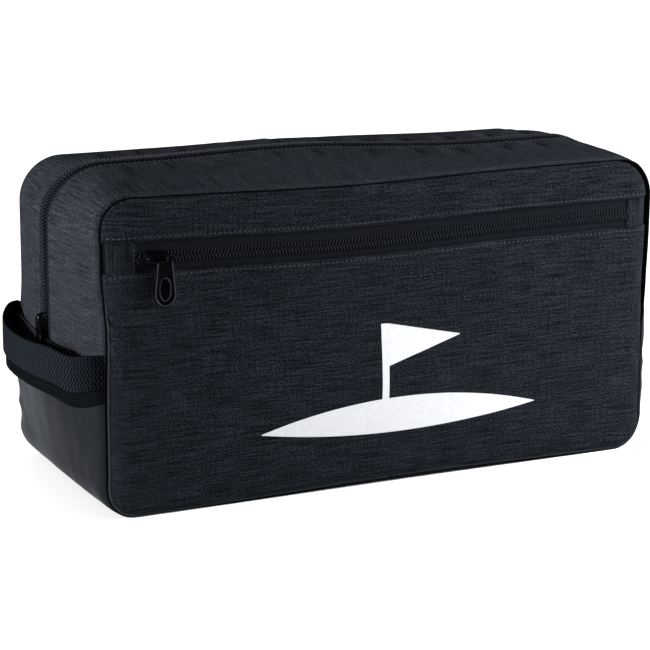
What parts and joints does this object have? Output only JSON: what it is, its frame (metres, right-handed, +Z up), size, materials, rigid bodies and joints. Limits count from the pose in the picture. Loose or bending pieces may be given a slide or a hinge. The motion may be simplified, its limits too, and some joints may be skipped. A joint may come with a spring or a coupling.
{
  "type": "golf shoe bag",
  "caption": "Soft box-shaped bag for a pair of golf shoes, with a zipped mouth over the top, a zipped front pocket, a coated base and a grab handle on one end.",
  "frame": {"origin": "middle of the base's underside, on the surface the bag stands on", "axes": "+X along the bag to the right as seen from the front, +Y from the front pocket to the back, +Z up; the handle is on the -X end"},
  "size_m": [0.4067, 0.1715, 0.1999],
  "materials": {
    "navy_cloth": "near-black navy heather polyester, fine plain weave with darker slubs",
    "coated_base": "dark grey coated tarpaulin, satin",
    "lining_cloth": "thin dark lining cloth",
    "seam_binding": "ribbed binding tape",
    "zip_tape": "knitted zip tape, matt",
    "zip_coil": "black nylon coil",
    "black_metal": "glossy black lacquered zinc",
    "handle_cloth": "smooth folded dark cloth",
    "handle_webbing": "dark herringbone webbing",
    "base_board": "dark polyethylene sheet",
    "white_print": "white rubbery print"
  },
  "bodies": {
    "shell": {"back_panel": "navy_cloth", "back_seam_binding": "seam_binding", "base_board": "base_board", "base_gusset": "coated_base", "front_panel_lower": "navy_cloth", "front_panel_upper": "navy_cloth", "front_print": "white_print", "front_seam_binding": "seam_binding", "gusset_back_left": "navy_cloth", "gusset_back_right": "navy_cloth", "gusset_front_left": "navy_cloth", "gusset_front_right": "navy_cloth", "handle_end_back": "handle_cloth", "handle_end_front": "handle_cloth", "main_zip_coil_back_left": "zip_coil", "main_zip_coil_back_right": "zip_coil", "main_zip_coil_front_left": "zip_coil", "main_zip_coil_front_right": "zip_coil", "main_zip_tape_back_left": "zip_tape", "main_zip_tape_back_right": "zip_tape", "main_zip_tape_front_left": "zip_tape", "main_zip_tape_front_right": "zip_tape", "pocket_lining": "lining_cloth", "pocket_zip_coil_lower": "zip_coil", "pocket_zip_coil_upper": "zip_coil", "pocket_zip_tab_left": "navy_cloth", "pocket_zip_tab_right": "navy_cloth", "pocket_zip_tape_lower": "zip_tape", "pocket_zip_tape_upper": "zip_tape"},
    "flap_front": {"gusset_front_flap": "navy_cloth", "main_zip_coil_front_flap": "zip_coil", "main_zip_tape_front_flap": "zip_tape"},
    "flap_back": {"gusset_back_flap": "navy_cloth", "main_zip_coil_back_flap": "zip_coil", "main_zip_tape_back_flap": "zip_tape"},
    "main_slider": {"main_zip_slider": "black_metal"},
    "main_pull": {"main_zip_pull": "black_metal"},
    "pocket_slider": {"pocket_zip_slider": "black_metal"},
    "pocket_pull": {"pocket_zip_pull": "black_metal"},
    "handle": {"handle_band": "handle_cloth", "handle_webbing": "handle_webbing"}
  },
  "joints": [
    {"name": "flap_front_open", "type": "hinge", "parent": "shell", "child": "flap_front", "pos_m": [0, -0.0728, 0.19], "axis": [1, 0, 0], "range_deg": [0, 80]},
    {"name": "flap_back_open", "type": "hinge", "parent": "shell", "child": "flap_back", "pos_m": [0, 0.0728, 0.19], "axis": [-1, 0, 0], "range_deg": [0, 80]},
    {"name": "main_slider_slide", "type": "slide", "parent": "shell", "child": "main_slider", "axis": [0, 0, 1], "range_m": [0, 0.052]},
    {"name": "main_pull_swing", "type": "hinge", "parent": "main_slider", "child": "main_pull", "pos_m": [-0.1964, 0, 0.1012], "axis": [0, 1, 0], "range_deg": [0, 12]},
    {"name": "pocket_slider_slide", "type": "slide", "parent": "shell", "child": "pocket_slider", "axis": [1, 0, 0], "range_m": [0, 0.305]},
    {"name": "pocket_pull_swing", "type": "hinge", "parent": "pocket_slider", "child": "pocket_pull", "pos_m": [-0.1474, -0.0844, 0.1549], "axis": [0, -1, 0], "range_deg": [-35, 80]},
    {"name": "handle_swing", "type": "hinge", "parent": "shell", "child": "handle", "pos_m": [-0.1825, 0, 0.0861], "axis": [0, 1, 0], "range_deg": [-15, 15], "stiffness_Nm_per_rad": 0.15}
  ]
}
